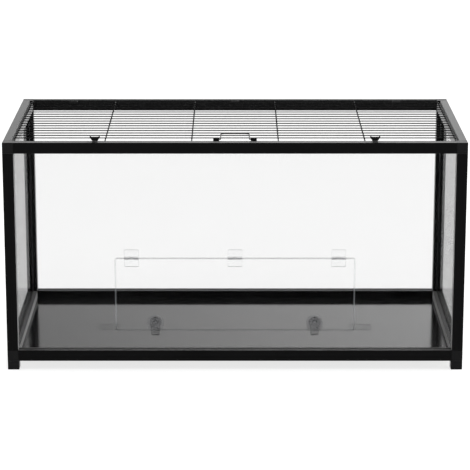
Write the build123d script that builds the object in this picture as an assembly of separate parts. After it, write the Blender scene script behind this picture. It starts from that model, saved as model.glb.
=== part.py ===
from build123d import *
from math import cos, pi, sin
import os

# Hamster cage: a square-tube frame that holds clear panels, with a top-hung
# door in the front panel and a hinged wire lid.
# Millimetres. +X is right, +Y is to the rear and +Z is up. The origin is at
# the centre of the footprint, on the floor under the feet.

# Overall size
WIDTH = 1000.0
DEPTH = 500.0
FRAME_TOP = 510.0
FOOT_H = 20.0

# Frame tube
TUBE = 24.0
WALL = 1.5
EDGE_R = 1.0
PLUG_LENGTH = 26.0
PLUG_GAP = 0.1

# Clear panels, held in slots in the tubes
PANEL_T = 3.0
PANEL_SETBACK = 12.0
SLOT_DEPTH = 7.0
SLOT_GAP = 0.2

# Rebate along the inner top edge of the top beams, where the lid lies
REBATE_W = 7.5
REBATE_H = 5.0

# Base sheet, held in slots near the underside of the bottom beams
BASE_T = 3.0
BASE_UP = 3.5

# Feet and their screws
FOOT_W = 25.5
SCREW_R = 2.0
SCREW_HEAD_R = 3.8

# Door in the front panel
DOOR_W = 521.0
DOOR_H = 162.0
DOOR_BOTTOM = 87.5
DOOR_GAP = 1.0

# Door hinges: three clear plastic hinges, each two leaves and a steel pin
HINGE_W = 31.5
HINGE_PITCH = 225.5
LEAF_T = 1.8
LEAF_TOP = 18.5
LEAF_BOTTOM = 19.5
KNUCKLE_R = 3.3
KNUCKLE_SPLIT = 5.2
PIN_R = 1.0
RUNNING_GAP = 0.05

# Door stops: clear tabs that overlap the front panel
STOP_OUT = 38.5
STOP_IN = 9.5
STOP_H = 12.5
STOP_T = 2.5

# Door knobs and the tongues they turn
KNOB_X = 174.6
KNOB_UP = 18.1
KNOB_R = 18.6
KNOB_T = 7.5
KNOB_RIBS = 24
TONGUE_W = 17.3
TONGUE_REACH = 29.3
TONGUE_T = 2.6
SPINDLE_R = 4.0
RETAINER_R = 9.0
RETAINER_T = 1.6

# Lid: a welded wire grid
LID_HALF_X = 477.5
LID_HALF_Y = 222.5
LID_CORNER_R = 8.0
BORDER_R = 1.5
CROSS_R = 1.4
CROSS_PITCH = 187.0
LONG_R = 1.15
LONG_COUNT = 16

# Lid fittings
STRAP_X = 380.0
STRAP_W = 20.0
EYE_R = 3.1
CLIP_X = 301.0
HANDLE_HALF = 31.0
HANDLE_REACH = 60.0
HANDLE_R = 1.2
HANDLE_FOOT_W = 13.0
HANDLE_FOOT_X = 34.0

# Gap kept between pieces that move against each other
MOVE_GAP = 0.3

PANEL_Y = -DEPTH / 2 + PANEL_SETBACK
DOOR_TOP = DOOR_BOTTOM + DOOR_H
HINGE_Z = DOOR_TOP + 2.0
HINGE_Y = PANEL_Y - KNUCKLE_R - MOVE_GAP
KNOB_Z = DOOR_BOTTOM + KNOB_UP
LID_Z = FRAME_TOP - REBATE_H + MOVE_GAP + BORDER_R
LONG_Z = LID_Z + BORDER_R + LONG_R
HANDLE_Z = LONG_Z + LONG_R + MOVE_GAP + HANDLE_R
SLOT_LO = PANEL_SETBACK - SLOT_GAP
SLOT_HI = PANEL_SETBACK + PANEL_T + SLOT_GAP
PANEL_EDGE = TUBE - SLOT_DEPTH + SLOT_GAP


def rect(u0, u1, v0, v1):
    """A rectangle between two corners."""
    return Pos((u0 + u1) / 2, (v0 + v1) / 2) * Rectangle(u1 - u0, v1 - v0)


def slab(x0, x1, y0, y1, z0, z1):
    """A box between two corners."""
    centre = Pos((x0 + x1) / 2, (y0 + y1) / 2, (z0 + z1) / 2)
    return centre * Box(x1 - x0, y1 - y0, z1 - z0)


def rod_x(radius, x0, x1, y, z):
    """A round bar along X."""
    return Pos((x0 + x1) / 2, y, z) * Rot(0, 90, 0) * Cylinder(radius, x1 - x0)


def rod_y(radius, x, y0, y1, z):
    """A round bar along Y."""
    return Pos(x, (y0 + y1) / 2, z) * Rot(90, 0, 0) * Cylinder(radius, y1 - y0)


def rod_z(radius, x, y, z0, z1):
    """A round bar along Z."""
    return Pos(x, y, (z0 + z1) / 2) * Cylinder(radius, z1 - z0)


def to_side(shape, side):
    """Moves a piece built with its outer face on the XZ plane to one side of the cage."""
    places = {
        "front": Pos(0, -DEPTH / 2, 0),
        "rear": Pos(0, DEPTH / 2, 0) * Rot(0, 0, 180),
        "left": Pos(-WIDTH / 2, 0, 0) * Rot(0, 0, -90),
        "right": Pos(WIDTH / 2, 0, 0) * Rot(0, 0, 90),
    }
    return places[side] * shape


def to_corner(shape, depth_side, width_side):
    """Moves a piece built in the front left corner to one corner of the cage."""
    turns = {"front_left": 0, "front_right": 90, "rear_right": 180, "rear_left": -90}
    x = -WIDTH / 2 if width_side == "left" else WIDTH / 2
    y = -DEPTH / 2 if depth_side == "front" else DEPTH / 2
    return Pos(x, y, 0) * Rot(0, 0, turns[depth_side + "_" + width_side]) * shape


def tube_outline():
    """The outside of the frame tube, from its outer lower corner."""
    return Pos(TUBE / 2, TUBE / 2) * RectangleRounded(TUBE, TUBE, EDGE_R)


def tube_hollow():
    """The tube's inside before the slots take their share."""
    return rect(WALL, TUBE - WALL, WALL, TUBE - WALL)


def top_beam_section():
    """Tube with a panel slot below and the lid's rebate at the inner top edge."""
    hollow = tube_hollow()
    hollow -= rect(SLOT_LO - WALL, SLOT_HI + WALL, 0, SLOT_DEPTH + WALL)
    hollow -= rect(TUBE - REBATE_W - WALL, TUBE, TUBE - REBATE_H - WALL, TUBE)
    section = tube_outline() - hollow
    section -= rect(SLOT_LO, SLOT_HI, -1, SLOT_DEPTH)
    section -= rect(TUBE - REBATE_W, TUBE + 1, TUBE - REBATE_H, TUBE + 1)
    return section


def bottom_beam_section():
    """Tube with a panel slot above and a slot for the base sheet inside."""
    base_lo = BASE_UP - SLOT_GAP
    base_hi = BASE_UP + BASE_T + SLOT_GAP
    hollow = tube_hollow()
    hollow -= rect(SLOT_LO - WALL, SLOT_HI + WALL, TUBE - SLOT_DEPTH - WALL, TUBE)
    hollow -= rect(TUBE - SLOT_DEPTH - WALL, TUBE, base_lo - WALL, base_hi + WALL)
    section = tube_outline() - hollow
    section -= rect(SLOT_LO, SLOT_HI, TUBE - SLOT_DEPTH, TUBE + 1)
    section -= rect(TUBE - SLOT_DEPTH, TUBE + 1, base_lo, base_hi)
    return section


def post_section():
    """Tube with a panel slot in each of its two inner faces."""
    hollow = tube_hollow()
    hollow -= rect(TUBE - SLOT_DEPTH - WALL, TUBE, SLOT_LO - WALL, SLOT_HI + WALL)
    hollow -= rect(SLOT_LO - WALL, SLOT_HI + WALL, TUBE - SLOT_DEPTH - WALL, TUBE)
    section = tube_outline() - hollow
    section -= rect(TUBE - SLOT_DEPTH, TUBE + 1, SLOT_LO, SLOT_HI)
    section -= rect(SLOT_LO, SLOT_HI, TUBE - SLOT_DEPTH, TUBE + 1)
    return section


def post():
    """A corner post between the two corner blocks."""
    length = FRAME_TOP - FOOT_H - 2 * TUBE
    return Pos(0, 0, FOOT_H + TUBE) * extrude(post_section(), length)


def beam(section, length, bottom):
    """A beam along X, centred, with its outer face on the XZ plane."""
    body = extrude(Plane.YZ * section, length / 2, both=True)
    return Pos(0, 0, bottom) * body


def strap_screw_places():
    """X positions of the screws through the lid's hinge straps."""
    places = []
    for centre in (-STRAP_X, 0.0, STRAP_X):
        places.append(centre - 6.0)
        places.append(centre + 6.0)
    return places


def top_beam(side):
    """A top beam; the rear one is drilled for the lid's hinge straps."""
    run = WIDTH if side in ("front", "rear") else DEPTH
    body = beam(top_beam_section(), run - 2 * TUBE, FRAME_TOP - TUBE)
    if side == "rear":
        floor = FRAME_TOP - REBATE_H
        for x in strap_screw_places():
            body -= rod_z(1.5, x, TUBE - 3.8, floor - 3, floor + 1)
    return to_side(body, side)


def bottom_beam(side):
    """A bottom beam."""
    run = WIDTH if side in ("front", "rear") else DEPTH
    body = beam(bottom_beam_section(), run - 2 * TUBE, FOOT_H)
    return to_side(body, side)


def plug(x_span, y_span, z_span):
    """One plug of a corner block, between two corners."""
    body = slab(*x_span, *y_span, *z_span)
    return chamfer(body.edges(), 0.6)


def corner_cube(bottom):
    """The visible cube of a corner block, with softened edges."""
    cube = slab(0, TUBE, 0, TUBE, bottom, bottom + TUBE)
    return fillet(cube.edges(), EDGE_R)


def top_corner():
    """A top corner block with plugs into the post and both beams."""
    low = FRAME_TOP - TUBE
    near = WALL + PLUG_GAP
    far = TUBE - SLOT_DEPTH - WALL - PLUG_GAP
    side_far = TUBE - REBATE_W - WALL - PLUG_GAP
    rise = (low + SLOT_DEPTH + WALL + PLUG_GAP, FRAME_TOP - WALL - PLUG_GAP)
    run = (TUBE - 2, TUBE + PLUG_LENGTH)
    body = corner_cube(low)
    body += plug((near, far), (near, far), (low - PLUG_LENGTH, low + 2))
    body += plug(run, (near, side_far), rise)
    body += plug((near, side_far), run, rise)
    body -= slab(TUBE - SLOT_DEPTH, TUBE + 1, SLOT_LO, SLOT_HI, low - 1, low + SLOT_DEPTH)
    body -= slab(SLOT_LO, SLOT_HI, TUBE - SLOT_DEPTH, TUBE + 1, low - 1, low + SLOT_DEPTH)
    return body


def bottom_corner():
    """A bottom corner block with plugs into the post and both beams, and a screw hole."""
    top = FOOT_H + TUBE
    near = WALL + PLUG_GAP
    far = TUBE - SLOT_DEPTH - WALL - PLUG_GAP
    run = (TUBE - 2, TUBE + PLUG_LENGTH)
    rise = (FOOT_H + near, FOOT_H + far)
    slot_floor = top - SLOT_DEPTH
    base_lo = FOOT_H + BASE_UP - SLOT_GAP
    base_hi = FOOT_H + BASE_UP + BASE_T + SLOT_GAP
    inner = TUBE - SLOT_DEPTH
    body = corner_cube(FOOT_H)
    body += plug((near, far), (near, far), (top - 2, top + PLUG_LENGTH))
    body += plug(run, (near, far), rise)
    body += plug((near, far), run, rise)
    body -= slab(inner, TUBE + 1, SLOT_LO, SLOT_HI, slot_floor, top + 1)
    body -= slab(SLOT_LO, SLOT_HI, inner, TUBE + 1, slot_floor, top + 1)
    body -= slab(inner, TUBE + 1, inner, TUBE + 1, base_lo, base_hi)
    body -= rod_z(SCREW_R + RUNNING_GAP, TUBE / 2, TUBE / 2, FOOT_H - 1, FOOT_H + 15)
    return body


def foot():
    """A foot under a bottom corner block, with a recess for its screw."""
    body = slab(0, FOOT_W, 0, FOOT_W, 0, FOOT_H)
    body = fillet(body.edges().filter_by(Axis.Z), 2.0)
    inner = body.edges().group_by(Axis.Z)[0].sort_by(Axis.X)
    body = fillet(inner, 1.2)
    body -= rod_z(SCREW_HEAD_R + 0.7, TUBE / 2, TUBE / 2, -1, 10)
    body -= rod_z(SCREW_R + 0.15, TUBE / 2, TUBE / 2, 9, FOOT_H + 1)
    return body


def foot_screw():
    """The screw that holds a foot, with a hexagon socket in its head."""
    head = rod_z(SCREW_HEAD_R, TUBE / 2, TUBE / 2, 7, 10)
    head = chamfer(head.edges().group_by(Axis.Z)[0], 0.4)
    socket = Pos(TUBE / 2, TUBE / 2, 6) * extrude(RegularPolygon(2.0, 6), 2.8)
    shank = rod_z(SCREW_R, TUBE / 2, TUBE / 2, 10, FOOT_H + 14)
    return head + shank - socket


def wall_panel(side):
    """A clear wall panel in the slots of two posts and two beams."""
    run = WIDTH if side in ("front", "rear") else DEPTH
    half = run / 2 - PANEL_EDGE
    low = FOOT_H + TUBE - SLOT_DEPTH + SLOT_GAP
    high = FRAME_TOP - TUBE + SLOT_DEPTH - SLOT_GAP
    body = slab(-half, half, PANEL_SETBACK, PANEL_SETBACK + PANEL_T, low, high)
    return to_side(body, side)


def door_blank(gap, corner_r, y0, y1):
    """The door's outline grown by a gap, as a solid between two depths."""
    face = RectangleRounded(DOOR_W + 2 * gap, DOOR_H + 2 * gap, corner_r)
    middle = Plane((0, y0, DOOR_BOTTOM + DOOR_H / 2), x_dir=(1, 0, 0), z_dir=(0, 1, 0))
    return extrude(middle * face, y1 - y0)


def front_panel():
    """The front panel with the opening for the door."""
    opening = door_blank(DOOR_GAP, 4.0, PANEL_Y - 1, PANEL_Y + PANEL_T + 1)
    return wall_panel("front") - opening


def door_panel():
    """The clear door, drilled for the two knob spindles."""
    body = door_blank(0, 3.0, PANEL_Y, PANEL_Y + PANEL_T)
    for x in (-KNOB_X, KNOB_X):
        body -= rod_y(SPINDLE_R + 0.1, x, PANEL_Y - 1, PANEL_Y + PANEL_T + 1, KNOB_Z)
    return body


def base_sheet():
    """The floor of the cage."""
    half_x = WIDTH / 2 - PANEL_EDGE
    half_y = DEPTH / 2 - PANEL_EDGE
    low = FOOT_H + BASE_UP
    return slab(-half_x, half_x, -half_y, half_y, low, low + BASE_T)


def hinge_bore(x):
    """The clear way for the pin through a whole hinge."""
    half = HINGE_W / 2 + 1
    return rod_x(PIN_R + RUNNING_GAP, x - half, x + half, HINGE_Y, HINGE_Z)


def fixed_leaf(x):
    """The upper hinge leaf on the front panel, with the two outer knuckles."""
    half = HINGE_W / 2
    split = KNUCKLE_SPLIT + MOVE_GAP
    top = HINGE_Z + LEAF_TOP
    clear_z = HINGE_Z + KNUCKLE_R + MOVE_GAP
    body = slab(x - half, x + half, PANEL_Y - LEAF_T, PANEL_Y, clear_z, top)
    body = fillet(body.edges().filter_by(Axis.Y).group_by(Axis.Z)[-1], 2.5)
    for x0, x1 in ((-half, -split), (split, half)):
        body += rod_x(KNUCKLE_R, x + x0, x + x1, HINGE_Y, HINGE_Z)
        body += slab(x + x0, x + x1, HINGE_Y + 1, PANEL_Y, HINGE_Z, clear_z)
    return body - hinge_bore(x)


def door_leaf(x):
    """The lower hinge leaf on the door, with the middle knuckle."""
    half = HINGE_W / 2
    split = KNUCKLE_SPLIT
    bottom = HINGE_Z - LEAF_BOTTOM
    clear_z = HINGE_Z - KNUCKLE_R - MOVE_GAP
    body = slab(x - half, x + half, PANEL_Y - LEAF_T, PANEL_Y, bottom, clear_z)
    body = fillet(body.edges().filter_by(Axis.Y).group_by(Axis.Z)[0], 2.5)
    body += rod_x(KNUCKLE_R, x - split, x + split, HINGE_Y, HINGE_Z)
    body += slab(x - split, x + split, HINGE_Y + 1, PANEL_Y - MOVE_GAP, clear_z, HINGE_Z)
    return body - hinge_bore(x)


def hinge_pin(x):
    """A steel hinge pin."""
    half = HINGE_W / 2 - 0.5
    return rod_x(PIN_R, x - half, x + half, HINGE_Y, HINGE_Z)


def door_stop(sign):
    """A clear tab on a lower corner of the door that overlaps the front panel."""
    edge = DOOR_W / 2
    low = DOOR_BOTTOM + 1.0
    body = slab(edge - STOP_IN, edge + STOP_OUT, PANEL_Y - STOP_T, PANEL_Y, low, low + STOP_H)
    body = fillet(body.edges().filter_by(Axis.Y), 3.0)
    relief = slab(edge, edge + STOP_OUT + 1, PANEL_Y - MOVE_GAP, PANEL_Y + 1, low - 1, low + STOP_H + 1)
    body -= relief
    if sign < 0:
        body = mirror(body, about=Plane.YZ)
    return body


def knob(x):
    """A clear turning knob with a ribbed rim and a grip bar, bored blind for its spindle."""
    back = PANEL_Y - MOVE_GAP - 0.1 - TONGUE_T
    rim = rod_y(KNOB_R - 1.2, x, back - KNOB_T, back, KNOB_Z)
    rim = chamfer(rim.edges().group_by(Axis.Y)[0], 1.2)
    for i in range(KNOB_RIBS):
        angle = 2 * pi * i / KNOB_RIBS
        rib_x = x + (KNOB_R - 1.5) * cos(angle)
        rib_z = KNOB_Z + (KNOB_R - 1.5) * sin(angle)
        rim += rod_y(1.5, rib_x, back - KNOB_T + 1.6, back, rib_z)
    dish = rod_y(12.5, x, back - KNOB_T - 1, back - KNOB_T + 1.2, KNOB_Z)
    bar = slab(x - 2.2, x + 2.2, back - KNOB_T, back - KNOB_T + 2, KNOB_Z - 14, KNOB_Z + 14)
    body = rim - dish + bar
    return body - rod_y(SPINDLE_R + 0.02, x, back - 4.5, back + 1, KNOB_Z)


def tongue(x):
    """The flat tongue behind a knob, which laps over the front panel below the door."""
    back = PANEL_Y - MOVE_GAP - 0.1
    half = TONGUE_W / 2
    body = slab(x - half, x + half, back - TONGUE_T, back, KNOB_Z - TONGUE_REACH, KNOB_Z)
    body = fillet(body.edges().filter_by(Axis.Y).group_by(Axis.Z)[0], 2.0)
    body += rod_y(12.0, x, back - TONGUE_T, back, KNOB_Z)
    return body - rod_y(SPINDLE_R + 0.02, x, back - TONGUE_T - 1, back + 1, KNOB_Z)


def spindle(x):
    """The spindle that joins a knob to its retainer through the door."""
    front = PANEL_Y - MOVE_GAP - 0.1 - TONGUE_T - 4.4
    inside = PANEL_Y + PANEL_T + MOVE_GAP + 0.1 + RETAINER_T
    return rod_y(SPINDLE_R, x, front, inside, KNOB_Z)


def retainer(x):
    """The ring that keeps a spindle in the door, on the inside."""
    front = PANEL_Y + PANEL_T + MOVE_GAP + 0.1
    body = rod_y(RETAINER_R, x, front, front + RETAINER_T, KNOB_Z)
    body = chamfer(body.edges().group_by(Axis.Y)[-1], 0.4)
    return body - rod_y(SPINDLE_R + 0.02, x, front - 1, front + RETAINER_T + 1, KNOB_Z)


def lid_border():
    """The lid's border: one round wire bent to a rectangle."""
    flat = Pos(0, 0, LID_Z) * RectangleRounded(2 * LID_HALF_X, 2 * LID_HALF_Y, LID_CORNER_R)
    path = flat.wires()[0]
    start = Plane(origin=path @ 0, z_dir=path % 0)
    return sweep(start * Circle(BORDER_R), path=path)


def lid_cross_wires():
    """The four front-to-rear wires, level with the top of the border wire."""
    z = LID_Z + BORDER_R - CROSS_R
    end = LID_HALF_Y - BORDER_R
    wires = []
    for i in range(4):
        wires.append(rod_y(CROSS_R, (i - 1.5) * CROSS_PITCH, -end, end, z))
    return Compound(children=wires)


def lid_long_wires():
    """The thin wires across the lid, lying on the border and the cross wires."""
    wires = []
    for i in range(LONG_COUNT):
        y = -LID_HALF_Y + (i + 1) * 2 * LID_HALF_Y / (LONG_COUNT + 1)
        wires.append(rod_x(LONG_R, -LID_HALF_X, LID_HALF_X, y, LONG_Z))
    return Compound(children=wires)


def lid_straps():
    """Three straps on the rear beam that hold the lid's rear wire."""
    floor = FRAME_TOP - REBATE_H
    half = STRAP_W / 2
    back = DEPTH / 2 - TUBE + REBATE_W - 0.4
    straps = []
    for x in (-STRAP_X, 0.0, STRAP_X):
        body = rod_x(EYE_R, x - half, x + half, LID_HALF_Y, LID_Z)
        body += slab(x - half, x + half, LID_HALF_Y + 2, back, floor, floor + 1.6)
        body -= rod_x(BORDER_R + 0.06, x - half - 1, x + half + 1, LID_HALF_Y, LID_Z)
        for screw_x in (x - 6.0, x + 6.0):
            body -= rod_z(1.5, screw_x, DEPTH / 2 - TUBE + 3.8, floor - 1, floor + 3)
        straps.append(body)
    return Compound(children=straps)


def strap_screws():
    """The screws that hold the straps to the rear beam."""
    floor = FRAME_TOP - REBATE_H
    y = DEPTH / 2 - TUBE + 3.8
    screws = []
    for x in strap_screw_places():
        head = rod_z(2.7, x, y, floor + 1.6, floor + 3.2)
        head = fillet(head.edges().group_by(Axis.Z)[-1], 0.6)
        screws.append(head + rod_z(1.45, x, y, floor - 6, floor + 1.6))
    return Compound(children=screws)


def lid_clip(x):
    """A clip that turns on the lid's front wire and rests its foot on the front beam."""
    half = 5.5
    y = -LID_HALF_Y
    foot_z = FRAME_TOP + MOVE_GAP
    tab_y = y - 15.5
    body = rod_x(EYE_R, x - half, x + half, y, LID_Z)
    body += slab(x - half, x + half, y - 3.0, y + 1.0, LID_Z + 1.8, foot_z + 2.2)
    body += slab(x - half, x + half, y - 24.0, y, foot_z, foot_z + 2.2)
    outline = [(-5.5, 0.5), (5.5, 0.5), (10.8, 8.0), (10.8, 12.5), (8.3, 12.5), (8.3, 9.5)]
    outline += [(-8.3, 9.5), (-8.3, 12.5), (-10.8, 12.5), (-10.8, 8.0)]
    place = Plane((x, tab_y, foot_z + 1.0), x_dir=(1, 0, 0), z_dir=(0, -1, 0))
    body += extrude(place * make_face(Polyline(*outline, close=True)), 1.3, both=True)
    gusset = [(0, 1.0), (12.0, 1.0), (0, 9.0)]
    rib = Plane((x, tab_y, foot_z), x_dir=(0, 1, 0), z_dir=(1, 0, 0))
    body += extrude(rib * make_face(Polyline(*gusset, close=True)), 1.0, both=True)
    return body - rod_x(BORDER_R + 0.06, x - half - 1, x + half + 1, y, LID_Z)


def handle_path():
    """The centre line of the lid handle, folded back on the lid."""
    y = -LID_HALF_Y
    bend = 2.5
    turn = 10.0
    wide = HANDLE_HALF
    end = HANDLE_FOOT_X + 10.0
    reach = y + HANDLE_REACH
    pieces = [
        Line((-end, y), (-wide - bend, y)),
        CenterArc((-wide - bend, y + bend), bend, -90, 90),
        Line((-wide, y + bend), (-wide, reach - turn)),
        CenterArc((-wide + turn, reach - turn), turn, 180, -90),
        Line((-wide + turn, reach), (wide - turn, reach)),
        CenterArc((wide - turn, reach - turn), turn, 90, -90),
        Line((wide, reach - turn), (wide, y + bend)),
        CenterArc((wide + bend, y + bend), bend, 180, 90),
        Line((wide + bend, y), (end, y)),
    ]
    edges = [edge for piece in pieces for edge in piece.edges()]
    return Pos(0, 0, HANDLE_Z) * Wire(edges)


def lid_handle():
    """The bail handle: a round wire loop that folds flat on the lid."""
    path = handle_path()
    start = Plane(origin=path @ 0, z_dir=path % 0)
    return sweep(start * Circle(HANDLE_R), path=path)


def handle_foot(sign):
    """A foot clamped on the lid's front wire, with an eye for one end of the handle."""
    x0 = HANDLE_FOOT_X
    x1 = HANDLE_FOOT_X + HANDLE_FOOT_W
    y = -LID_HALF_Y
    body = rod_x(EYE_R, x0, x1, y, LID_Z)
    body += rod_x(2.8, x0, x1, y, HANDLE_Z)
    body += slab(x0, x1, y - 2.8, y + 2.8, LID_Z, HANDLE_Z)
    body -= rod_x(BORDER_R + 0.02, x0 - 1, x1 + 1, y, LID_Z)
    body -= rod_x(HANDLE_R + 0.06, x0 - 1, x1 + 1, y, HANDLE_Z)
    if sign < 0:
        body = mirror(body, about=Plane.YZ)
    return body


def all_parts():
    """Every piece of the cage by node name."""
    parts = {}
    for depth_side in ("front", "rear"):
        for width_side in ("left", "right"):
            place = depth_side + "_" + width_side
            parts["post_" + place] = to_corner(post(), depth_side, width_side)
            parts["top_corner_" + place] = to_corner(top_corner(), depth_side, width_side)
            parts["bottom_corner_" + place] = to_corner(bottom_corner(), depth_side, width_side)
            parts["foot_" + place] = to_corner(foot(), depth_side, width_side)
    screws = []
    for depth_side in ("front", "rear"):
        for width_side in ("left", "right"):
            screws.append(to_corner(foot_screw(), depth_side, width_side))
    parts["foot_screws"] = Compound(children=screws)
    for side in ("front", "rear", "left", "right"):
        parts["top_beam_" + side] = top_beam(side)
        parts["bottom_beam_" + side] = bottom_beam(side)
    parts["panel_front"] = front_panel()
    for side in ("rear", "left", "right"):
        parts["panel_" + side] = wall_panel(side)
    parts["base_sheet"] = base_sheet()
    parts["door_panel"] = door_panel()
    pins = []
    for name, x in (("left", -HINGE_PITCH), ("middle", 0.0), ("right", HINGE_PITCH)):
        parts["door_hinge_upper_" + name] = fixed_leaf(x)
        parts["door_hinge_lower_" + name] = door_leaf(x)
        pins.append(hinge_pin(x))
    parts["door_hinge_pins"] = Compound(children=pins)
    for name, sign in (("left", -1), ("right", 1)):
        parts["door_stop_" + name] = door_stop(sign)
        parts["knob_" + name] = knob(sign * KNOB_X)
        parts["knob_tongue_" + name] = tongue(sign * KNOB_X)
        parts["knob_spindle_" + name] = spindle(sign * KNOB_X)
        parts["knob_retainer_" + name] = retainer(sign * KNOB_X)
        parts["lid_clip_" + name] = lid_clip(sign * CLIP_X)
        parts["lid_handle_foot_" + name] = handle_foot(sign)
    parts["lid_border"] = lid_border()
    parts["lid_cross_wires"] = lid_cross_wires()
    parts["lid_long_wires"] = lid_long_wires()
    parts["lid_hinge_straps"] = lid_straps()
    parts["lid_strap_screws"] = strap_screws()
    parts["lid_handle"] = lid_handle()
    return parts


os.makedirs("parts", exist_ok=True)
for node, shape in all_parts().items():
    export_step(shape, "parts/" + node + ".step")
    print(node, round(shape.volume, 1))
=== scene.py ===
"""Hamster cage: finishes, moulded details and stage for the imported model.

Metres, in the model's own frame: +X right, +Y to the rear, +Z up, origin on
the floor at the centre of the footprint.
"""

import math

import bmesh
import bpy
from mathutils import Matrix, Vector


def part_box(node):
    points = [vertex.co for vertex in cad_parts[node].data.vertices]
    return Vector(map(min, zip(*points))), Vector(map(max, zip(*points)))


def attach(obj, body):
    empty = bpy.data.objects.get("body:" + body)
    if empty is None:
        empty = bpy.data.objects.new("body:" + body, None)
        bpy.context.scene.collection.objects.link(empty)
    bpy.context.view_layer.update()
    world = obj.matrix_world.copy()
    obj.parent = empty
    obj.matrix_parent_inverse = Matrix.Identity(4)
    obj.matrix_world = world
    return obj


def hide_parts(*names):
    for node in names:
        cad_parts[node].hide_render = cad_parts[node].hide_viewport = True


bl_info = {
    "name": "Hamster Cage",
    "version": (1, 0, 0),
    "blender": (4, 5, 0),
    "location": "View3D > Sidebar > Cage",
    "description": "Finishes, moulded details and stage for a framed clear hamster cage",
    "category": "Object",
}

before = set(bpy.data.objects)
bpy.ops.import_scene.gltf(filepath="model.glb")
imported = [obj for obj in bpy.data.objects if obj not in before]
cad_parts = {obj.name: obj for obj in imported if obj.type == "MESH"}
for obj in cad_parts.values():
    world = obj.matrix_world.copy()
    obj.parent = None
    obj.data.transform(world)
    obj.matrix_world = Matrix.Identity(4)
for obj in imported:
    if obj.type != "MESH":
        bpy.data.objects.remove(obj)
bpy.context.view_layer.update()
MM = 0.001

CORNERS = ("front_left", "front_right", "rear_left", "rear_right")
HANDS = ("left", "right")
HINGES = ("left", "middle", "right")

SQUARE_ON = 0.97       # a face this squarely turned to an axis counts as flat
MERGE = 2e-6           # vertices closer than this are one
FLAT_WITHIN = math.radians(1)
SMOOTH_BELOW = math.radians(32)
ROUND_ABOVE = math.radians(35)
WHITE = (1, 1, 1, 1)
INK = (0.02, 0.02, 0.022)
DIM_MIRROR = (0.3, 0.3, 0.3, 1)
DIM_GLINT = (0.35, 0.35, 0.35, 1)
ACRYLIC_IOR = 1.49
GLOSSY_SHEET_IOR = 1.6
LONG_WIRES = 16        # thin wires across the lid
WELD_RADIUS = 1.35 * MM
WELD_SHAPE = (1.25, 1.25, 0.75, 1)


# ---------------------------------------------------------------- settings


class CageFinishes(bpy.types.PropertyGroup):
    """Colours and gloss of the cage's materials."""

    tube_colour: bpy.props.FloatVectorProperty(
        name="Tube colour", description="Coat on the frame tubes", subtype="COLOR",
        size=3, min=0, max=1, default=(0.0036, 0.0036, 0.0038))
    tube_gloss: bpy.props.FloatProperty(
        name="Tube roughness", description="Roughness of the coat on the tubes",
        subtype="FACTOR", min=0, max=1, default=0.3)
    plastic_colour: bpy.props.FloatVectorProperty(
        name="Black plastic", description="Corner blocks, feet, clips and straps",
        subtype="COLOR", size=3, min=0, max=1, default=(0.01, 0.01, 0.0104))
    wire_colour: bpy.props.FloatVectorProperty(
        name="Wire colour", description="Coat on the lid's wires", subtype="COLOR",
        size=3, min=0, max=1, default=(0.004, 0.004, 0.0043))
    base_colour: bpy.props.FloatVectorProperty(
        name="Base sheet", description="Glossy sheet on the cage's floor", subtype="COLOR",
        size=3, min=0, max=1, default=(0.006, 0.006, 0.0063))
    clear_tint: bpy.props.FloatVectorProperty(
        name="Clear sheet tint", description="Light that one face of a clear panel lets through",
        subtype="COLOR", size=3, min=0, max=1, default=(0.92, 0.92, 0.92))
    # Painted shade: this grey on the clear panels' cut edges stands in for the light they bend
    # away; the upright edges are drawn paler as a painted highlight.
    edge_colour: bpy.props.FloatVectorProperty(
        name="Cut edge", description="Cut edges of the clear panels", subtype="COLOR",
        size=3, min=0, max=1, default=(0.12, 0.125, 0.13))
    chamfer: bpy.props.FloatProperty(
        name="Chamfer", description="Chamfer on the cut edges of the front panel and the door",
        subtype="DISTANCE", unit="LENGTH", default=0.65 * MM)
    # Painted shade: this near-black on the edges of the hinges and stops, and on the knobs'
    # slanting faces, stands in for light bent away inside the clear plastic. It is also the body
    # colour of the stop tabs and tongues.
    fitting_edge: bpy.props.FloatVectorProperty(
        name="Fitting edges", description="Edges of the hinges, knobs and stops",
        subtype="COLOR", size=3, min=0, max=1, default=(0.01, 0.0105, 0.011))
    fitting_colour: bpy.props.FloatVectorProperty(
        name="Clear fittings", description="Body colour of the hinges, knobs and stops",
        subtype="COLOR", size=3, min=0, max=1, default=(0.3, 0.305, 0.315))
    fitting_density: bpy.props.FloatProperty(
        name="Fitting density", description="How much of what is behind a clear fitting it hides",
        subtype="FACTOR", min=0, max=1, default=0.1)


class CageEdges(bpy.types.PropertyGroup):
    """Rounding of the moulded pieces' edges."""

    hinge_leaf: bpy.props.FloatProperty(
        name="Hinge leaf", description="Rounding of the clear hinge leaves",
        subtype="DISTANCE", unit="LENGTH", default=1.1 * MM)
    stop_tab: bpy.props.FloatProperty(
        name="Stop tab", description="Rounding of the clear tabs at the door's lower corners",
        subtype="DISTANCE", unit="LENGTH", default=1.2 * MM)
    tongue: bpy.props.FloatProperty(
        name="Tongue", description="Rounding of the knobs' tongues",
        subtype="DISTANCE", unit="LENGTH", default=1.0 * MM)
    clip: bpy.props.FloatProperty(
        name="Clip", description="Rounding of the lid's clips",
        subtype="DISTANCE", unit="LENGTH", default=0.35 * MM)
    handle_foot: bpy.props.FloatProperty(
        name="Handle foot", description="Rounding of the feet of the lid's handle",
        subtype="DISTANCE", unit="LENGTH", default=0.4 * MM)


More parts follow.
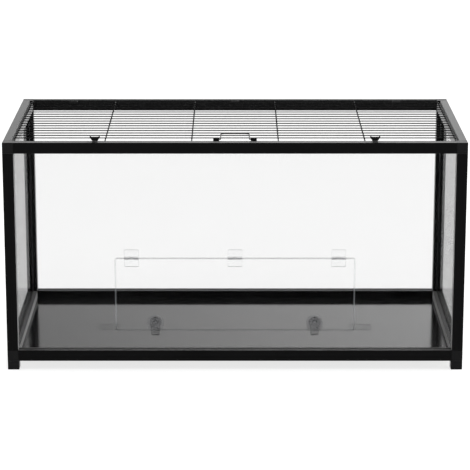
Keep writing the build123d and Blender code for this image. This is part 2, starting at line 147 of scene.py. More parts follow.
class CageKnobs(bpy.types.PropertyGroup):
    """Sizes of the two turning knobs on the door."""

    rim: bpy.props.FloatProperty(
        name="Rim radius", description="Radius over the ribs of the rim", subtype="DISTANCE",
        unit="LENGTH", default=18.6 * MM)
    height: bpy.props.FloatProperty(
        name="Height", description="Height of the knob from its tongue", subtype="DISTANCE",
        unit="LENGTH", default=7.5 * MM)
    bore: bpy.props.FloatProperty(
        name="Bore radius", description="Radius of the blind hole for the spindle",
        subtype="DISTANCE", unit="LENGTH", default=4.05 * MM)
    scallops: bpy.props.IntProperty(
        name="Scallops", description="Number of scallops round the rim", default=24, min=6)
    scallop_depth: bpy.props.FloatProperty(
        name="Scallop depth", description="Depth of one scallop", subtype="DISTANCE",
        unit="LENGTH", default=0.9 * MM)
    rays: bpy.props.IntProperty(
        name="Rays", description="Number of raised rays in the dish", default=12, min=6)


class CageStage(bpy.types.PropertyGroup):
    """Floor, light and camera."""

    floor_colour: bpy.props.FloatVectorProperty(
        name="Floor", description="Colour of the floor", subtype="COLOR", size=3,
        min=0, max=1, default=(0.55, 0.55, 0.55))
    floor_glow: bpy.props.FloatProperty(
        name="Floor glow", description="Light of the floor's own, which keeps shadows pale",
        default=0.75)
    floor_size: bpy.props.FloatProperty(
        name="Floor size", description="Side of the floor", subtype="DISTANCE",
        unit="LENGTH", default=40.0)
    room_light: bpy.props.FloatProperty(
        name="Room light", description="Strength of the light from behind and above",
        default=1.65)
    front_light: bpy.props.FloatProperty(
        name="Front light", description="Strength of the light from the door side", default=0.25)
    left_share: bpy.props.FloatProperty(
        name="Left share", description="Light from the left as a share of that from the right",
        subtype="FACTOR", default=0.52)
    backdrop: bpy.props.FloatProperty(
        name="Backdrop", description="Brightness of what is seen behind the cage",
        default=1.02)
    key_power: bpy.props.FloatProperty(
        name="Key light", description="Power of the overhead softbox", subtype="POWER",
        unit="POWER", default=13.0)
    side_power: bpy.props.FloatProperty(
        name="Side light", description="Power of the softbox to the right", subtype="POWER",
        unit="POWER", default=10.0)
    camera_distance: bpy.props.FloatProperty(
        name="Camera distance", description="From the middle of the cage, along the floor",
        subtype="DISTANCE", unit="LENGTH", default=4.8)
    camera_height: bpy.props.FloatProperty(
        name="Camera height", description="Above the floor", subtype="DISTANCE",
        unit="LENGTH", default=1.482)
    camera_tilt: bpy.props.FloatProperty(
        name="Camera tilt", description="Downward tilt of the view", subtype="ANGLE",
        unit="ROTATION", default=math.radians(14.49))
    lens: bpy.props.FloatProperty(
        name="Lens", description="Focal length in millimetres", default=166.2)


# ---------------------------------------------------------------- materials


class Signal:
    """A shader socket that Python's arithmetic builds Math nodes on."""

    def __init__(self, recipe, socket):
        self.recipe = recipe
        self.socket = socket

    def _maths(self, operation, *values):
        return self.recipe.node(
            "ShaderNodeMath", {"operation": operation}, dict(enumerate(values)))

    def __add__(self, other):
        return self._maths("ADD", self, other)

    __radd__ = __add__

    def __sub__(self, other):
        return self._maths("SUBTRACT", self, other)

    def __rsub__(self, other):
        return self._maths("SUBTRACT", other, self)

    def __mul__(self, other):
        return self._maths("MULTIPLY", self, other)

    __rmul__ = __mul__

    def __pow__(self, other):
        return self._maths("POWER", self, other)

    def __gt__(self, other):
        return self._maths("GREATER_THAN", self, other)

    def size(self):
        """The value without its sign."""
        return self._maths("ABSOLUTE", self)

    def clamped(self):
        """The value kept between 0 and 1."""
        return self.recipe.node("ShaderNodeClamp", {}, {"Value": self})


class Recipe:
    """The nodes of a material or of the room: one method makes every node."""

    def __init__(self, name, library="materials"):
        self.owner = getattr(bpy.data, library).new(name)
        self.owner.use_nodes = True
        self.tree = self.owner.node_tree
        self.tree.nodes.clear()

    def node(self, kind, settings=None, sockets=None, output=0):
        """Adds a node: its settings first, then the values or links of its sockets."""
        made = self.tree.nodes.new(kind)
        for name, value in (settings or {}).items():
            if name == "stops":
                self._set_stops(made.color_ramp, value)
            else:
                setattr(made, name, value)
        for name, value in (sockets or {}).items():
            if isinstance(value, Signal):
                self.tree.links.new(value.socket, made.inputs[name])
            else:
                made.inputs[name].default_value = value
        return Signal(self, made.outputs[output]) if made.outputs else None

    @staticmethod
    def _set_stops(ramp, stops):
        while len(ramp.elements) < len(stops):
            ramp.elements.new(0.5)
        for element, (place, level) in zip(ramp.elements, stops):
            element.position = place
            element.color = (level, level, level, 1)

    def place(self, stretch=(1, 1, 1)):
        """Object coordinates in metres, stretched."""
        here = self.node("ShaderNodeTexCoord", output="Object")
        return self.node("ShaderNodeMapping", {}, {"Vector": here, "Scale": stretch})

    def noise(self, scale, detail=3.0, stretch=(1, 1, 1), roughness=0.5):
        """A noise value of a given scale per metre."""
        return self.node("ShaderNodeTexNoise", {}, {
            "Vector": self.place(stretch), "Scale": scale, "Detail": detail,
            "Roughness": roughness})

    def levels(self, value, *stops):
        """A value passed through a ramp of (place, level) stops."""
        return self.node("ShaderNodeValToRGB", {"stops": stops}, {"Fac": value})

    def blend(self, amount, first, second):
        """Two colours mixed by an amount."""
        return self.node(
            "ShaderNodeMix", {"data_type": "RGBA"},
            {"Factor": amount, 6: first, 7: second}, output=2)

    def bump(self, height, strength, distance):
        """A bump for the Normal socket, its distance in metres."""
        return self.node(
            "ShaderNodeBump", {},
            {"Height": height, "Strength": strength, "Distance": distance})

    def along(self, axis, kind="Object"):
        """One part, X, Y or Z, of a texture coordinate."""
        vector = self.node("ShaderNodeTexCoord", output=kind)
        return self.node("ShaderNodeSeparateXYZ", {}, {"Vector": vector}, output=axis)

    def face(self, axis):
        """How squarely a surface faces one of the piece's own axes, from 0 to 1."""
        return self.along(axis, "Normal").size()

    def slant(self):
        """How far a surface turns away from the view, from 0 to 1."""
        return self.node("ShaderNodeLayerWeight", {}, {"Blend": 0.5}, output="Facing")

    def see_through(self, amount, tint, shine):
        """A clear material: the shine by its amount, and the rest lets light through."""
        through = self.node("ShaderNodeBsdfTransparent", {}, {"Color": tint})
        return self.node("ShaderNodeMixShader", {}, {0: amount.clamped(), 1: through, 2: shine})

    def finish(self, surface, kind="Material"):
        """Puts the surface on the output and hands back the material or the room."""
        self.node("ShaderNodeOutput" + kind, {}, {"Surface": surface})
        return self.owner


def rgba(colour, scale=1.0):
    """A colour with full alpha, made lighter or darker."""
    return (colour[0] * scale, colour[1] * scale, colour[2] * scale, 1.0)


def coated_tube(name, colour, roughness, stretch):
    """Semi-gloss black coat on tube: faint lengthwise lines, orange peel, rubbed specks."""
    r = Recipe(name)
    lines = r.noise(scale=260.0, detail=4.0, stretch=stretch)
    patches = r.noise(scale=7.0, detail=4.0)
    peel = r.noise(scale=950.0, detail=2.0)
    rubbed = r.noise(scale=90.0, detail=8.0, roughness=0.75)
    rubbed = r.levels(rubbed, (0.66, 0.0), (0.78, 1.0))
    tone = r.blend(patches, rgba(colour, 0.6), rgba(colour, 1.7))
    tone = r.blend(rubbed * 0.35, tone, rgba(colour, 6.0))
    rough = roughness + (patches - 0.5) * 0.2 + (lines - 0.5) * 0.12 + rubbed * 0.15
    normal = r.bump(peel * 0.6 + lines * 0.4, strength=0.5, distance=0.06 * MM)
    surface = r.node("ShaderNodeBsdfPrincipled", {}, {
        "Base Color": tone, "Roughness": rough.clamped(), "Specular IOR Level": 0.03,
        "Sheen Weight": 0.85, "Sheen Roughness": 0.28, "Normal": normal})
    return r.finish(surface)


def moulded_black(name, colour, grain=2200.0):
    """Black moulded plastic with a fine spark-eroded grain."""
    r = Recipe(name)
    cells = r.node("ShaderNodeTexVoronoi", {}, {"Vector": r.place(), "Scale": grain})
    clouds = r.noise(scale=30.0, detail=4.0)
    scuffs = r.noise(scale=160.0, detail=8.0, stretch=(1, 1, 0.25), roughness=0.7)
    scuffs = r.levels(scuffs, (0.62, 0.0), (0.76, 1.0))
    tone = r.blend(clouds, rgba(colour, 0.8), rgba(colour, 1.4))
    tone = r.blend(scuffs * 0.3, tone, rgba(colour, 5.0))
    rough = 0.42 + (clouds - 0.5) * 0.16 + scuffs * 0.1
    normal = r.bump(cells, strength=0.6, distance=0.06 * MM)
    surface = r.node("ShaderNodeBsdfPrincipled", {}, {
        "Base Color": tone, "Roughness": rough.clamped(), "Specular IOR Level": 0.04,
        "Sheen Weight": 0.7, "Sheen Roughness": 0.3, "Normal": normal})
    return r.finish(surface)


def coated_wire(name, colour):
    """Black dipped wire: glossy, with slow ripples in the coat."""
    r = Recipe(name)
    ripple = r.noise(scale=420.0)
    clouds = r.noise(scale=18.0)
    tone = r.blend(clouds, rgba(colour, 0.7), rgba(colour, 1.6))
    rough = 0.3 + (ripple - 0.5) * 0.2
    surface = r.node("ShaderNodeBsdfPrincipled", {}, {
        "Base Color": tone, "Roughness": rough.clamped(), "Specular IOR Level": 0.05,
        "Normal": r.bump(ripple, strength=0.3, distance=0.05 * MM)})
    return r.finish(surface)


def glossy_sheet(name, colour):
    """Black plastic sheet with a high gloss, fine wiping marks and a slow change of tone."""
    r = Recipe(name)
    clouds = r.noise(scale=3.0, detail=4.0)
    wiping = r.noise(scale=60.0, detail=6.0, stretch=(0.12, 1, 1), roughness=0.65)
    tone = r.blend(clouds, rgba(colour, 0.88), rgba(colour, 1.12))
    rough = 0.07 + clouds * 0.03 + wiping * 0.04
    surface = r.node("ShaderNodeBsdfPrincipled", {}, {
        "Base Color": tone, "Roughness": rough.clamped(), "IOR": GLOSSY_SHEET_IOR,
        "Normal": r.bump(wiping, strength=0.04, distance=0.002 * MM)})
    return r.finish(surface)


def clear_sheet(name, axis, tint, edge_colour):
    """Clear acrylic sheet: faces that mirror at a slant, and cut edges in grey painted shade, the
    upright ones with a painted highlight.
    """
    r = Recipe(name)
    flat = r.face(axis)
    # Which cut edges stand upright: they get the painted highlight below.
    upright = r.face("Y" if axis == "X" else "X")
    edge = 1 - (flat > SQUARE_ON)
    haze = r.noise(scale=9.0, detail=6.0, roughness=0.6)
    haze = r.levels(haze, (0.45, 0.0), (0.8, 1.0))
    saw = r.noise(scale=900.0, stretch=(1, 1, 0.2))
    mirror = (r.slant() ** 4.0) * 0.55 + 0.004
    amount = mirror * (1 - edge) + haze * 0.004 + edge * (0.42 + 0.2 * saw)
    # Painted shade and highlight: cut edges take the grey edge colour, the upright ones 4.5 times
    # paler.
    cut = r.blend(upright, rgba(edge_colour), rgba(edge_colour, 4.5))
    tone = r.blend(edge, DIM_MIRROR, cut)
    rough = 0.03 + edge * 0.25 + haze * 0.03
    shine = r.node("ShaderNodeBsdfPrincipled", {}, {
        "Base Color": tone, "Metallic": 1 - edge, "Specular Tint": DIM_GLINT,
        "Specular IOR Level": 0.3, "Roughness": rough.clamped()})
    return r.finish(r.see_through(amount, rgba(tint), shine))


def clear_plate(name, colour, edge_colour, density, knuckle=None):
    """Clear moulded plate: thin across its flat face, with painted shade round its edges that is
    paler at a knuckle.
    """
    r = Recipe(name)
    edge = 1 - (r.face("Y") > SQUARE_ON)
    if knuckle:
        height, radius = knuckle
        outside = (r.along("Z") - height).size() > radius
        edge = edge * (0.22 + 0.78 * outside)
    flow = r.noise(scale=140.0, detail=4.0, stretch=(1, 1, 0.4))
    amount = density + (r.slant() ** 3.0) * 0.2 + edge * 0.92 + (flow - 0.5) * 0.02
    # Painted shade: the edges take the dark edge colour, for the light bent away inside the clear
    # plastic.
    tone = r.blend(edge, rgba(colour), rgba(edge_colour))
    shine = r.node("ShaderNodeBsdfPrincipled", {}, {
        "Base Color": tone, "Roughness": (0.1 + flow * 0.1).clamped(), "IOR": ACRYLIC_IOR,
        "Specular IOR Level": 0.05,
        "Normal": r.bump(flow, strength=0.2, distance=0.05 * MM)})
    return r.finish(r.see_through(amount, (0.996, 0.997, 0.998, 1), shine))


def clear_moulding(name, colour, edge_colour, density):
    """Clear ribbed moulding: painted shade makes it denser and darker wherever its surface slants
    away from the view.
    """
    r = Recipe(name)
    slant = r.slant()
    flow = r.noise(scale=140.0, detail=4.0, stretch=(1, 1, 0.4))
    clouds = r.noise(scale=60.0)
    # Painted shade: slanting faces turn opaque and dark, which brings out the rays and scallops.
    amount = density + (slant ** 1.3) * 1.5 + (clouds - 0.5) * 0.04
    tone = r.blend(slant, rgba(colour), rgba(edge_colour))
    shine = r.node("ShaderNodeBsdfPrincipled", {}, {
        "Base Color": tone, "Roughness": (0.1 + flow * 0.1).clamped(), "IOR": ACRYLIC_IOR,
        "Specular IOR Level": 0.2,
        "Normal": r.bump(flow, strength=0.25, distance=0.1 * MM)})
    return r.finish(r.see_through(amount, (0.97, 0.97, 0.975, 1), shine))


def plain_steel(name, stretch=(1, 1, 1)):
    """Bright turned steel with fine tool marks."""
    r = Recipe(name)
    turning = r.noise(scale=1500.0, stretch=stretch)
    stains = r.noise(scale=120.0, detail=5.0)
    tone = r.blend(stains, (0.42, 0.42, 0.43, 1), (0.62, 0.62, 0.63, 1))
    surface = r.node("ShaderNodeBsdfPrincipled", {}, {
        "Base Color": tone, "Metallic": 1.0, "Roughness": (0.24 + turning * 0.18).clamped(),
        "Normal": r.bump(turning, strength=0.3, distance=0.02 * MM)})
    return r.finish(surface)


def ink_mark(name, colour):
    """Dark pointer mark printed in a knob."""
    r = Recipe(name)
    speckle = r.noise(scale=800.0)
    tone = r.blend(speckle, rgba(colour, 0.8), rgba(colour, 1.6))
    surface = r.node("ShaderNodeBsdfPrincipled", {}, {
        "Base Color": tone, "Roughness": 0.35 + speckle * 0.2})
    return r.finish(surface)


def floor_finish(name, colour, glow):
    """Pale matt floor with a little light of its own."""
    r = Recipe(name)
    speckle = r.noise(scale=40.0)
    tone = r.blend(speckle, rgba(colour, 0.99), rgba(colour, 1.01))
    surface = r.node("ShaderNodeBsdfPrincipled", {}, {
        "Base Color": tone, "Roughness": 0.85, "Specular IOR Level": 0.1,
        "Emission Color": WHITE, "Emission Strength": glow})
    return r.finish(surface)


def dress(nodes, material):
    """Puts a material on every slot of the named nodes."""
    for name in nodes:
        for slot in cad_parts[name].material_slots:
            slot.material = material


# ---------------------------------------------------------------- meshes


def add_piece(name, bm, material, body, replaced=(), smooth=True):
    """Turns a bmesh into a piece that rides on a body and stands for the nodes it replaces."""
    mesh = bpy.data.meshes.new(name)
    bm.to_mesh(mesh)
    bm.free()
    mesh.materials.append(material)
    piece = bpy.data.objects.new(name, mesh)
    bpy.context.scene.collection.objects.link(piece)
    if smooth:
        mesh.polygons.foreach_set("use_smooth", [True] * len(mesh.polygons))
        mesh.set_sharp_from_angle(angle=SMOOTH_BELOW)
    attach(piece, body)
    if replaced:
        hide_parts(*replaced)
    return piece


def softened_copy(name, node, width, material, body):
    """A copy of a node with its sharp edges rounded, which stands for it."""
    bm = bmesh.new()
    bm.from_mesh(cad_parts[node].data)
    bmesh.ops.remove_doubles(bm, verts=bm.verts, dist=MERGE)
    bmesh.ops.dissolve_limit(
        bm, angle_limit=FLAT_WITHIN, verts=bm.verts, edges=bm.edges)
    piece = add_piece(name, bm, material, body, (node,), smooth=False)
    bevel = piece.modifiers.new("rounded edges", "BEVEL")
    bevel.width = width
    bevel.segments = 2
    bevel.limit_method = "ANGLE"
    bevel.angle_limit = ROUND_ABOVE
    return piece


def chamfered_copy(name, node, width, material, body):
    """A copy of a flat upright sheet with its cut edges chamfered, which stands for it."""
    bm = bmesh.new()
    bm.from_mesh(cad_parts[node].data)
    bmesh.ops.remove_doubles(bm, verts=bm.verts, dist=MERGE)
    for side in (-1, 1):
        flat = [face for face in bm.faces if face.normal.y * side > SQUARE_ON]
        ring = bmesh.ops.inset_region(
            bm, faces=flat, thickness=width, use_boundary=True, use_even_offset=True)["faces"]
        inner = {vert for face in flat for vert in face.verts}
        for vert in {vert for face in ring for vert in face.verts} - inner:
            vert.co.y -= side * width
    return add_piece(name, bm, material, body, (node,), smooth=False)


def spun_profile(bm, profile, steps):
    """Spins a profile of (radius, height) points into a closed body of revolution about Z."""
    verts = [bm.verts.new((radius, 0, height)) for radius, height in profile]
    edges = [bm.edges.new(pair) for pair in zip(verts, verts[1:])]
    bmesh.ops.spin(
        bm, geom=verts + edges, cent=(0, 0, 0), axis=(0, 0, 1),
        angle=2 * math.pi, steps=steps, use_merge=True)
    bmesh.ops.remove_doubles(bm, verts=bm.verts, dist=MERGE)
    bmesh.ops.recalc_face_normals(bm, faces=bm.faces)


# ---------------------------------------------------------------- operators


class CAGE_OT_frame(bpy.types.Operator):
    """Finish the posts, beams, corner blocks and feet"""

    bl_idname = "cage.frame"
    bl_label = "Frame"

    def execute(self, context):
        look = context.scene.cage_finishes
        upright = coated_tube("upright tube", look.tube_colour, look.tube_gloss, (1, 1, 0.02))
        across = coated_tube("cross tube", look.tube_colour, look.tube_gloss, (0.02, 1, 1))
        along = coated_tube("side tube", look.tube_colour, look.tube_gloss, (1, 0.02, 1))
        block = moulded_black("corner block", look.plastic_colour)
        dress(["post_" + corner for corner in CORNERS], upright)
        for level in ("top", "bottom"):
            dress([level + "_beam_front", level + "_beam_rear"], across)
            dress([level + "_beam_left", level + "_beam_right"], along)
            dress([level + "_corner_" + corner for corner in CORNERS], block)
        dress(["foot_" + corner for corner in CORNERS],
              moulded_black("foot plastic", look.plastic_colour, grain=1500.0))
        dress(["foot_screws"], plain_steel("foot screw steel"))
        return {"FINISHED"}


class CAGE_OT_panels(bpy.types.Operator):
    """Finish the clear panels, the door and the base sheet"""

    bl_idname = "cage.panels"
    bl_label = "Panels"

    def execute(self, context):
        look = context.scene.cage_finishes
        facing_front = clear_sheet(
            "clear sheet facing front", "Y", look.clear_tint, look.edge_colour)
        facing_side = clear_sheet(
            "clear sheet facing side", "X", look.clear_tint, look.edge_colour)
        dress(["panel_rear"], facing_front)
        chamfered_copy("front_sheet", "panel_front", look.chamfer, facing_front,
                       "cage")
        chamfered_copy("door_sheet", "door_panel", look.chamfer, facing_front,
                       "door")
        dress(["panel_left", "panel_right"], facing_side)
        dress(["base_sheet"], glossy_sheet("base sheet gloss", look.base_colour))
        return {"FINISHED"}


class CAGE_OT_door_fittings(bpy.types.Operator):
    """Finish the door's hinges, stops and tongues, with softened edges"""

    bl_idname = "cage.door_fittings"
    bl_label = "Door fittings"

    def execute(self, context):
        look = context.scene.cage_finishes
        edges = context.scene.cage_edges
        clear = clear_plate("clear plate", look.fitting_colour, look.fitting_edge,
                            look.fitting_density)
        pin_low, pin_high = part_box("door_hinge_pins")
        knuckle_radius = 2.2 * (pin_high.z - pin_low.z)
        knuckle = ((pin_low.z + pin_high.z) / 2, knuckle_radius)
        leaf = clear_plate("clear hinge leaf", look.fitting_colour, look.fitting_edge,
                           look.fitting_density * 0.1, knuckle)
        for place in HINGES:
            softened_copy("hinge_leaf_fixed_" + place, "door_hinge_upper_" + place,
                          edges.hinge_leaf, leaf, "cage")
            softened_copy("hinge_leaf_door_" + place, "door_hinge_lower_" + place,
                          edges.hinge_leaf, leaf, "door")
        dress(["door_hinge_pins"], plain_steel("hinge pin steel", (0.1, 1, 1)))
        tab = clear_plate("clear stop tab", look.fitting_edge, look.fitting_edge,
                          look.fitting_density * 0.5)
        thick = clear_plate("clear tongue", look.fitting_edge, look.fitting_edge,
                            look.fitting_density * 1.8)
        for hand in HANDS:
            softened_copy("stop_tab_" + hand, "door_stop_" + hand, edges.stop_tab, tab,
                          "door")
            softened_copy("tongue_" + hand, "knob_tongue_" + hand, edges.tongue, thick,
                          "door_knob_" + hand)
            dress(["knob_spindle_" + hand, "knob_retainer_" + hand], clear)
        return {"FINISHED"}


class CAGE_OT_knobs(bpy.types.Operator):
    """Mould the two ribbed turning knobs and their pointer marks"""

    bl_idname = "cage.knobs"
    bl_label = "Knobs"

    def knob_body(self, size):
        """One knob about Z: dished face, centre boss, blind bore, scallops past the plain part."""
        top, rim, bore = size.height, size.rim, size.bore
        profile = [
            (0, 0.58 * top), (bore, 0.58 * top), (bore, 0), (0.93 * rim, 0),
            (0.99 * rim, 0.08 * top), (rim, 0.2 * top), (rim, 0.66 * top),
            (0.965 * rim, 0.84 * top), (0.9 * rim, 0.95 * top), (0.84 * rim, 0.97 * top),
            (0.8 * rim, 0.9 * top), (0.77 * rim, 0.74 * top), (0.6 * rim, 0.66 * top),
            (0.42 * rim, 0.68 * top), (0.37 * rim, 0.76 * top), (0.34 * rim, 0.92 * top),
            (0.29 * rim, 0.99 * top), (0.12 * rim, top), (0, top),
        ]
        bm = bmesh.new()
        spun_profile(bm, profile, 8 * size.scallops)
        plain = 0.88
        for vert in bm.verts:
            radius = vert.co.xy.length
            if radius > plain * rim:
                turn = math.atan2(vert.co.y, vert.co.x) * size.scallops
                share = (radius / rim - plain) / (1 - plain)
                pull = size.scallop_depth * share * (0.5 - 0.5 * math.cos(turn))
                vert.co.xy *= (radius - pull) / radius
        return bm

    def add_rays(self, bm, size):
        """Raised rays and a ring of studs in the dish of a knob."""
        top, rim = size.height, size.rim
        for i in range(size.rays):
            turn = Matrix.Rotation(2 * math.pi * i / size.rays, 4, "Z")
            ray = bmesh.ops.create_cone(
                bm, cap_ends=True, segments=4, radius1=1.0, radius2=0.3, depth=1.0)["verts"]
            shape = Matrix.Diagonal((0.25 * rim, 0.12 * rim, 0.26 * top, 1))
            square = Matrix.Rotation(math.pi / 4, 4, "Z")
            bmesh.ops.transform(bm, verts=ray, matrix=turn @ Matrix.Translation(
                (0.59 * rim, 0, 0.79 * top)) @ shape @ square)
            half = Matrix.Rotation(math.pi / size.rays, 4, "Z")
            stud = bmesh.ops.create_icosphere(bm, subdivisions=2, radius=0.036 * rim)["verts"]
            bmesh.ops.transform(bm, verts=stud, matrix=half @ turn @ Matrix.Translation(
                (0.87 * rim, 0, 0.955 * top)))

    def grip(self, bm, size):
        """A rounded bar across the face to turn the knob by."""
        top, rim = size.height, size.rim
        bar = bmesh.ops.create_cube(bm, size=1.0)["verts"]
        bmesh.ops.transform(bm, verts=bar, matrix=Matrix.Translation((0, 0, 0.86 * top))
                            @ Matrix.Diagonal((0.2 * rim, 1.2 * rim, 0.26 * top, 1)))
        edges = [edge for edge in bm.edges if edge.verts[0] in bar]
        bmesh.ops.bevel(bm, geom=edges, offset=0.05 * rim, offset_type="OFFSET", segments=3,
                        profile=0.5, affect="EDGES", material=-1)

    def pointer(self, size):
        """The pointer mark at the top of a knob: a thin wedge let into the rim."""
        bm = bmesh.new()
        wedge = bmesh.ops.create_cone(
            bm, cap_ends=True, segments=3, radius1=0.13 * size.rim, radius2=0.12 * size.rim,
            depth=0.12 * size.height)["verts"]
        place = Matrix.Translation((0, 0.74 * size.rim, 0.97 * size.height))
        bmesh.ops.transform(bm, verts=wedge, matrix=place @ Matrix.Rotation(math.pi / 2, 4, "Z"))
        bmesh.ops.bevel(bm, geom=bm.edges[:], offset=0.012 * size.rim, offset_type="OFFSET",
                        segments=2, profile=0.5, affect="EDGES", material=-1)
        return bm

    def execute(self, context):
        look = context.scene.cage_finishes
        size = context.scene.cage_knobs
        clear = clear_moulding("clear knob", look.fitting_colour, look.fitting_edge,
                               look.fitting_density * 0.4)
        ink = ink_mark("pointer ink", INK)
        face_front = Matrix.Rotation(math.pi / 2, 4, "X")
        for hand in HANDS:
            node = "knob_" + hand
            low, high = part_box(node)
            centre = (low + high) / 2
            place = Matrix.Translation((centre.x, high.y, centre.z)) @ face_front
            bm = self.knob_body(size)
            self.add_rays(bm, size)
            self.grip(bm, size)
            bmesh.ops.transform(bm, verts=bm.verts, matrix=place)
            add_piece("ribbed_knob_" + hand, bm, clear, "door_knob_" + hand,
                      (node,))
            mark = self.pointer(size)
            bmesh.ops.transform(mark, verts=mark.verts, matrix=place)
            add_piece("knob_pointer_" + hand, mark, ink, "door_knob_" + hand)
        return {"FINISHED"}


class CAGE_OT_lid(bpy.types.Operator):
    """Finish the lid's wires and add the weld at each crossing"""

    bl_idname = "cage.lid"
    bl_label = "Lid"

    def crossings(self):
        """Where each thin wire meets a cross wire or a side of the border."""
        low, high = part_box("lid_long_wires")
        cross_low, cross_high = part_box("lid_cross_wires")
        border_low, border_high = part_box("lid_border")
        border_radius = (border_high.z - border_low.z) / 2
        thin = (high.z - low.z) / 2
        cross_radius = (cross_high.z - cross_low.z) / 2
        first, last = cross_low.x + cross_radius, cross_high.x - cross_radius
        columns = [border_low.x + border_radius, border_high.x - border_radius]
        columns += [first + (last - first) * i / 3 for i in range(4)]
        for i in range(LONG_WIRES):
            y = low.y + thin + (high.y - low.y - 2 * thin) * i / (LONG_WIRES - 1)
            for x in columns:
                yield Vector((x, y, border_high.z))

    def execute(self, context):
        look = context.scene.cage_finishes
        wire = coated_wire("coated wire", look.wire_colour)
        dress(["lid_border", "lid_cross_wires", "lid_long_wires", "lid_handle"], wire)
        bm = bmesh.new()
        for spot in self.crossings():
            bead = bmesh.ops.create_icosphere(bm, subdivisions=2, radius=WELD_RADIUS)["verts"]
            bmesh.ops.transform(
                bm, verts=bead, matrix=Matrix.Translation(spot) @ Matrix.Diagonal(WELD_SHAPE))
        add_piece("lid_welds", bm, wire, "lid")
        return {"FINISHED"}


class CAGE_OT_lid_fittings(bpy.types.Operator):
    """Finish the clips, the handle's feet and the hinge straps, with softened edges"""

    bl_idname = "cage.lid_fittings"
    bl_label = "Lid fittings"

    def execute(self, context):
        look = context.scene.cage_finishes
        edges = context.scene.cage_edges
        plastic = moulded_black("clip plastic", look.plastic_colour, grain=3000.0)
        for hand in HANDS:
            softened_copy("clip_body_" + hand, "lid_clip_" + hand, edges.clip, plastic,
                          "clip_" + hand)
            softened_copy("handle_foot_" + hand, "lid_handle_foot_" + hand,
                          edges.handle_foot, plastic, "lid")
        dress(["lid_hinge_straps"], plastic)
        dress(["lid_strap_screws"], plain_steel("strap screw steel"))
        return {"FINISHED"}


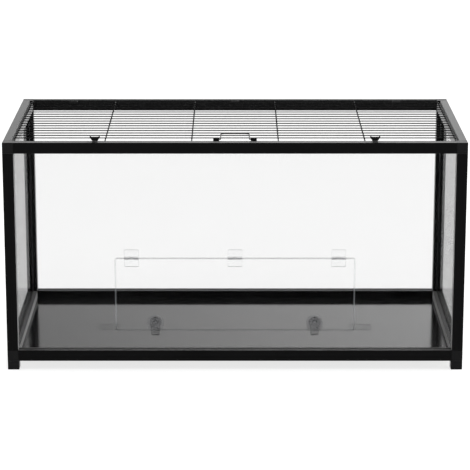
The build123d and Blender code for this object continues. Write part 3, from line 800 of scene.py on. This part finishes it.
class CAGE_OT_stage(bpy.types.Operator):
    """Set the floor, the soft light and the camera"""

    bl_idname = "cage.stage"
    bl_label = "Stage"

    def add_floor(self, stage):
        """A plain pale floor."""
        bm = bmesh.new()
        bmesh.ops.create_grid(bm, x_segments=4, y_segments=4, size=stage.floor_size / 2)
        mesh = bpy.data.meshes.new("floor")
        bm.to_mesh(mesh)
        bm.free()
        mesh.materials.append(
            floor_finish("floor finish", stage.floor_colour, stage.floor_glow))
        floor = bpy.data.objects.new("floor", mesh)
        bpy.context.scene.collection.objects.link(floor)

    def add_softbox(self, name, place, aim, size, power):
        """A large square light aimed at a point."""
        lamp = bpy.data.lights.new(name, "AREA")
        lamp.shape = "SQUARE"
        lamp.size = size
        lamp.energy = power
        light = bpy.data.objects.new(name, lamp)
        light.location = place
        light.rotation_euler = (Vector(aim) - Vector(place)).to_track_quat("-Z", "Y").to_euler()
        bpy.context.scene.collection.objects.link(light)

    def light_room(self, stage):
        """Soft light from behind and above, dimmer from the front, and a bright backdrop."""
        r = Recipe("studio", "worlds")
        behind = r.node("ShaderNodeMapRange", {"interpolation_type": "SMOOTHSTEP"}, {
            "Value": r.along("Y", "Generated"), "From Min": -1.0, "From Max": 0.5,
            "To Min": stage.front_light, "To Max": stage.room_light})
        strength = behind * self.left_to_right(r, stage.left_share, 1.0)
        around = r.node("ShaderNodeBackground", {}, {"Color": WHITE, "Strength": strength})
        backdrop = r.node("ShaderNodeBackground", {}, {
            "Color": WHITE,
            "Strength": self.left_to_right(r, stage.backdrop, stage.backdrop * 1.1)})
        seen = r.node("ShaderNodeLightPath", output="Is Camera Ray")
        room = r.node("ShaderNodeMixShader", {}, {0: seen, 1: around, 2: backdrop})
        bpy.context.scene.world = r.finish(room, "World")

    def left_to_right(self, r, left, right):
        """A strength that changes from the left of the room to its right."""
        return r.node("ShaderNodeMapRange", {}, {
            "Value": r.along("X", "Generated"), "From Min": -0.1, "From Max": 0.1,
            "To Min": left, "To Max": right})

    def add_camera(self, stage):
        """The camera, in front of the cage and above it, tilted down."""
        lens = bpy.data.cameras.new("camera")
        lens.sensor_width = 36.0
        lens.lens = stage.lens
        lens.clip_end = 2.5 * stage.floor_size
        camera = bpy.data.objects.new("camera", lens)
        camera.location = (0, -stage.camera_distance, stage.camera_height)
        camera.rotation_euler = (math.pi / 2 - stage.camera_tilt, 0, 0)
        bpy.context.scene.collection.objects.link(camera)
        bpy.context.scene.camera = camera

    def execute(self, context):
        stage = context.scene.cage_stage
        self.add_floor(stage)
        self.add_softbox("overhead softbox", place=(-0.4, -0.6, 3.2), aim=(0, 0, 0.3),
                         size=2.4, power=stage.key_power)
        self.add_softbox("right softbox", place=(3.0, 1.2, 1.8), aim=(0, 0, 0.2),
                         size=1.8, power=stage.side_power)
        self.light_room(stage)
        self.add_camera(stage)
        context.scene.view_settings.view_transform = "Standard"
        context.scene.cycles.transparent_max_bounces = 32
        return {"FINISHED"}


class CAGE_PT_panel(bpy.types.Panel):
    """Lists the steps that finish the cage"""

    bl_idname = "CAGE_PT_panel"
    bl_label = "Hamster Cage"
    bl_space_type = "VIEW_3D"
    bl_region_type = "UI"
    bl_category = "Cage"

    def draw(self, context):
        for step in STEPS:
            self.layout.operator(step.bl_idname)
        for group_name in SETTINGS:
            group = getattr(context.scene, group_name)
            for key in group.bl_rna.properties.keys():
                if key not in ("rna_type", "name"):
                    self.layout.prop(group, key)


SETTINGS = {
    "cage_finishes": CageFinishes, "cage_edges": CageEdges, "cage_knobs": CageKnobs,
    "cage_stage": CageStage}
STEPS = (
    CAGE_OT_frame, CAGE_OT_panels, CAGE_OT_door_fittings, CAGE_OT_knobs, CAGE_OT_lid,
    CAGE_OT_lid_fittings, CAGE_OT_stage)


def register():
    """Registers the settings, the steps and the panel."""
    for cls in (*SETTINGS.values(), *STEPS, CAGE_PT_panel):
        bpy.utils.register_class(cls)
    for name, group in SETTINGS.items():
        setattr(bpy.types.Scene, name, bpy.props.PointerProperty(type=group))


def unregister():
    """Takes the settings, the steps and the panel away again."""
    for name in SETTINGS:
        delattr(bpy.types.Scene, name)
    for cls in reversed((*SETTINGS.values(), *STEPS, CAGE_PT_panel)):
        bpy.utils.unregister_class(cls)


def main():
    """Finishes the whole cage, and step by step."""
    register()
    bpy.ops.cage.frame()
    bpy.ops.cage.panels()
    bpy.ops.cage.door_fittings()
    bpy.ops.cage.knobs()
    bpy.ops.cage.lid()
    bpy.ops.cage.lid_fittings()
    bpy.ops.cage.stage()


if __name__ == "__main__":
    main()
